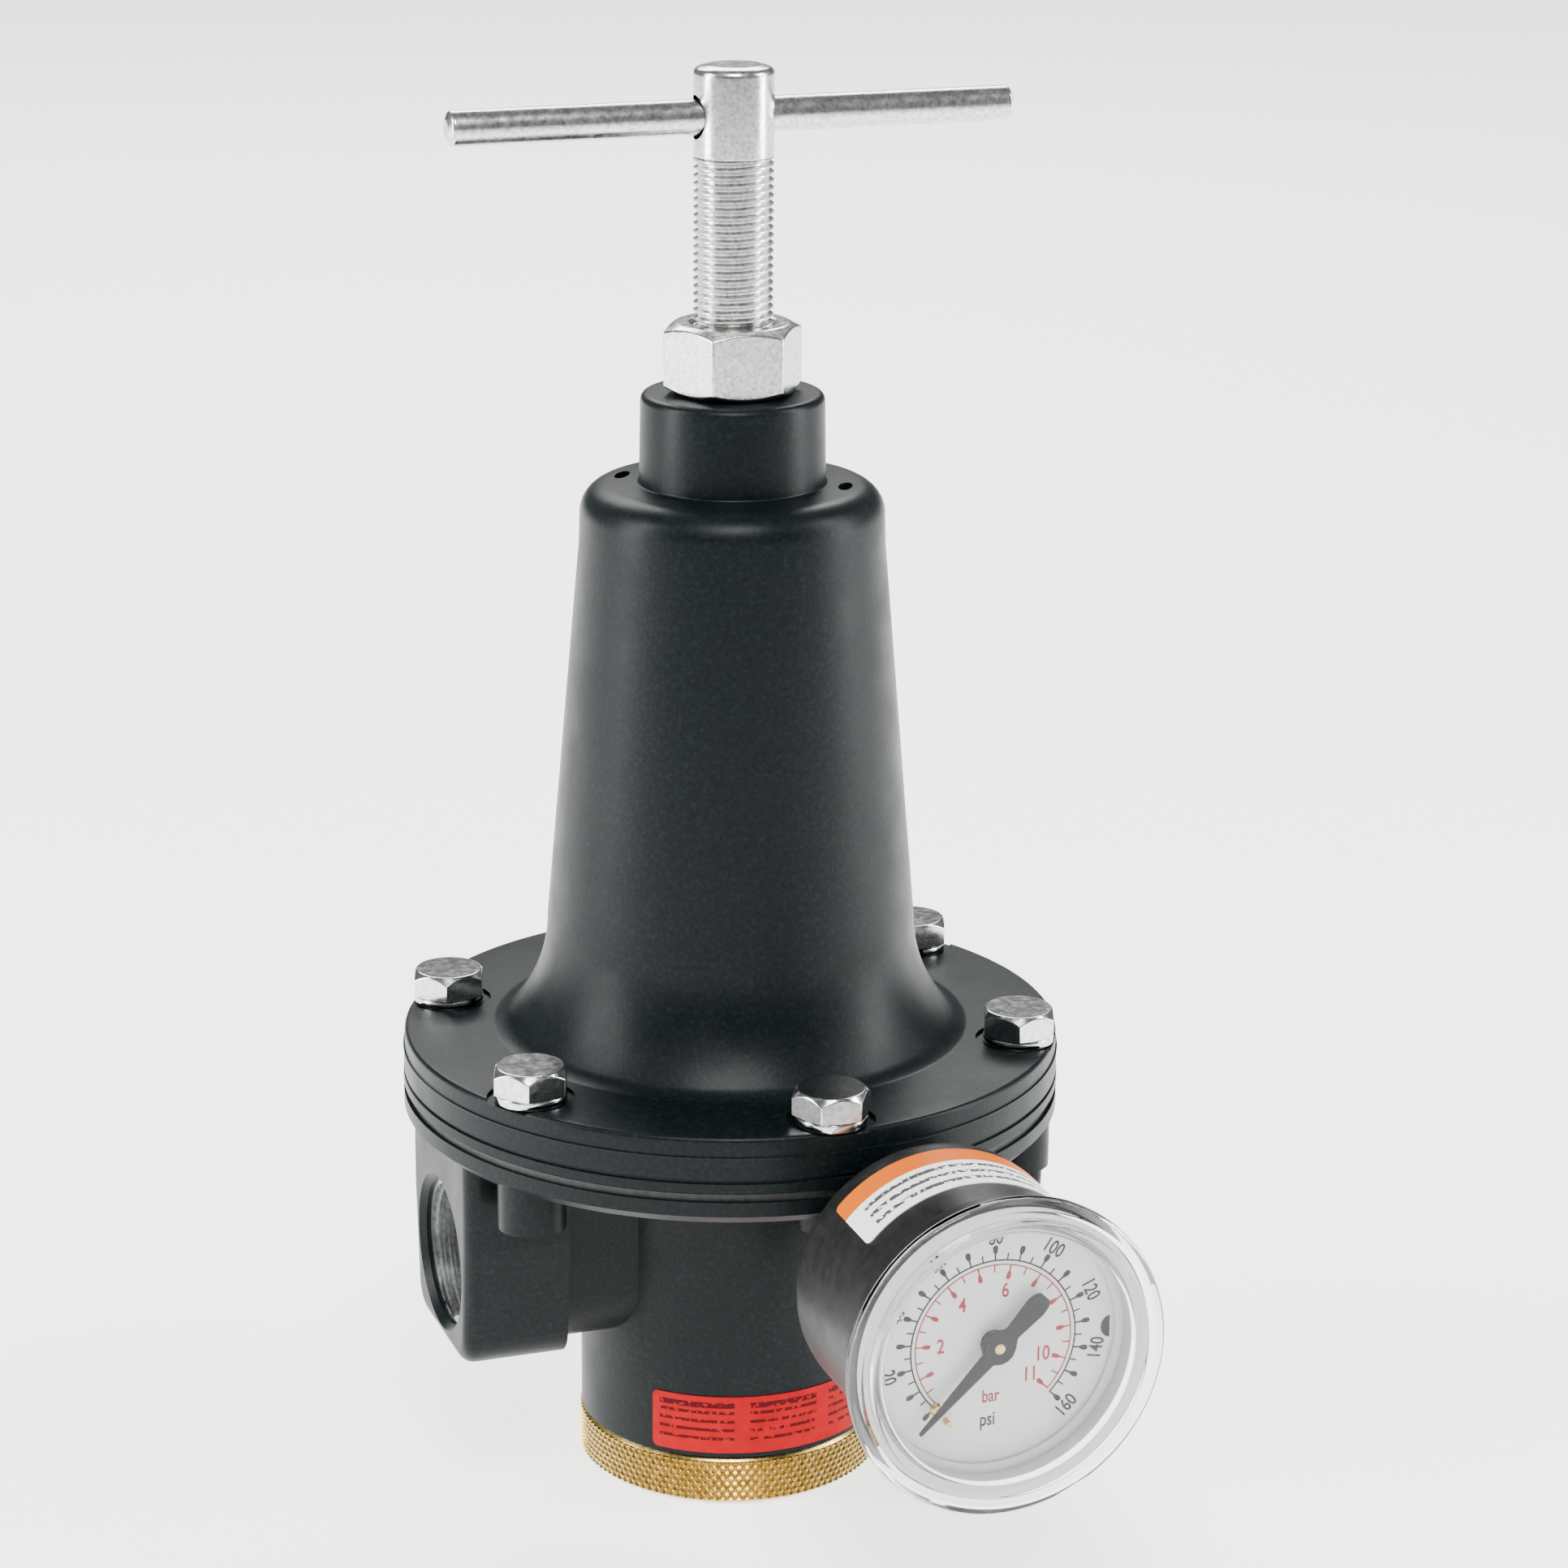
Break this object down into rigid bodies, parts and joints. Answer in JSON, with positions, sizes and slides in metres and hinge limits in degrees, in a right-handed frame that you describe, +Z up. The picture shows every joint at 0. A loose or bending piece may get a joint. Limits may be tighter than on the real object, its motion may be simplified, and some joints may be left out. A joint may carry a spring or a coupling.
{
  "type": "air pressure regulator",
  "caption": "Spring-and-diaphragm air pressure regulator with a tee-bar adjusting screw, bell bonnet, threaded side ports, knurled brass cap and a dial gauge.",
  "frame": {"origin": "middle of the bottom cap's underside, on the axis of the adjusting screw", "axes": "+Z up the adjusting screw, +X out of the outlet port, the gauge faces -Y"},
  "size_m": [0.1224, 0.1657, 0.2646],
  "materials": {
    "black_coat": "satin black powder coat on a die casting",
    "brass": "machined brass",
    "steel": "machined steel",
    "spring_steel": "oiled spring wire",
    "zinc_plate": "bright zinc plate",
    "bright_plate": "bright nickel plate",
    "nitrile": "black nitrile rubber",
    "gauge_black": "satin black moulded case",
    "dial_white": "white printed dial",
    "pointer_black": "matt black aluminium",
    "clear_lens": "clear moulded window",
    "red_sticker": "red vinyl sticker",
    "white_sticker": "white and orange vinyl sticker"
  },
  "bodies": {
    "regulator": {"body": "black_coat", "bonnet": "black_coat", "bottom_cap": "brass", "cap_o_ring": "nitrile", "guide_o_ring": "nitrile", "valve_seat_ring": "brass", "valve_spring": "spring_steel", "diaphragm": "nitrile", "main_spring": "spring_steel", "flange_screws": "bright_plate", "lock_washers": "bright_plate", "rear_port_plug": "steel", "gauge_socket": "brass", "gauge_case": "gauge_black", "gauge_dial": "dial_white", "lens_gasket": "nitrile", "gauge_lens": "clear_lens", "dial_screws": "brass", "stop_pin": "brass", "hairspring": "brass", "movement_back_plate": "brass", "movement_front_plate": "brass", "movement_pillars": "brass", "bourdon_tube": "brass", "tube_tip": "brass", "body_sticker": "red_sticker", "case_sticker": "white_sticker"},
    "spring_rest": {"upper_spring_rest": "steel"},
    "screw": {"adjusting_screw": "zinc_plate", "tee_bar": "zinc_plate"},
    "lock_nut": {"lock_nut": "zinc_plate"},
    "diaphragm_centre": {"diaphragm_top_plate": "steel", "diaphragm_under_plate": "steel", "relief_hub": "brass", "hub_nut": "steel"},
    "valve": {"valve_poppet": "brass", "poppet_seal": "nitrile", "valve_stem": "steel", "valve_guide_pin": "brass"},
    "pointer": {"gauge_pointer": "pointer_black", "pointer_arbor": "brass"},
    "sector": {"sector_gear": "brass"},
    "link": {"link_rod": "brass"}
  },
  "joints": [
    {"name": "screw_advance", "type": "slide", "parent": "regulator", "child": "spring_rest", "axis": [0, 0, 1], "range_m": [-0.0254, 0], "deforming": ["main_spring"]},
    {"name": "screw_turn", "type": "hinge", "parent": "spring_rest", "child": "screw", "pos_m": [0, 0, 0.2], "axis": [0, 0, 1], "range_deg": [-6480, 0]},
    {"name": "lock_nut_turn", "type": "hinge", "parent": "regulator", "child": "lock_nut", "pos_m": [0, 0, 0.209], "axis": [0, 0, 1], "range_deg": [0, 180]},
    {"name": "diaphragm_stroke", "type": "slide", "parent": "regulator", "child": "diaphragm_centre", "axis": [0, 0, 1], "range_m": [-0.0025, 0], "stiffness_N_per_m": 2000, "springref_m": 0.0005, "deforming": ["diaphragm"]},
    {"name": "valve_stroke", "type": "slide", "parent": "regulator", "child": "valve", "axis": [0, 0, 1], "range_m": [-0.0025, 0], "deforming": ["valve_spring"]},
    {"name": "pointer_sweep", "type": "hinge", "parent": "regulator", "child": "pointer", "pos_m": [0.0144, -0.0869, 0.0597], "axis": [0, 1, 0], "range_deg": [0, 270], "deforming": ["hairspring", "bourdon_tube", "tube_tip"]},
    {"name": "sector_turn", "type": "hinge", "parent": "regulator", "child": "sector", "pos_m": [0.0144, -0.0786, 0.0433], "axis": [0, 1, 0], "range_deg": [-40.1, 0.1]},
    {"name": "link_turn", "type": "hinge", "parent": "sector", "child": "link", "pos_m": [0.01611, -0.0796, 0.048], "axis": [0, 1, 0], "range_deg": [-0.1, 40.1]}
  ],
  "couplings": [
    {"joint": "screw_turn", "follows": "screw_advance", "rad_per_m": 4452.6},
    {"joint": "valve_stroke", "follows": "diaphragm_stroke", "ratio": 1},
    {"joint": "sector_turn", "follows": "pointer_sweep", "ratio": -0.14815},
    {"joint": "link_turn", "follows": "pointer_sweep", "ratio": 0.14815}
  ]
}
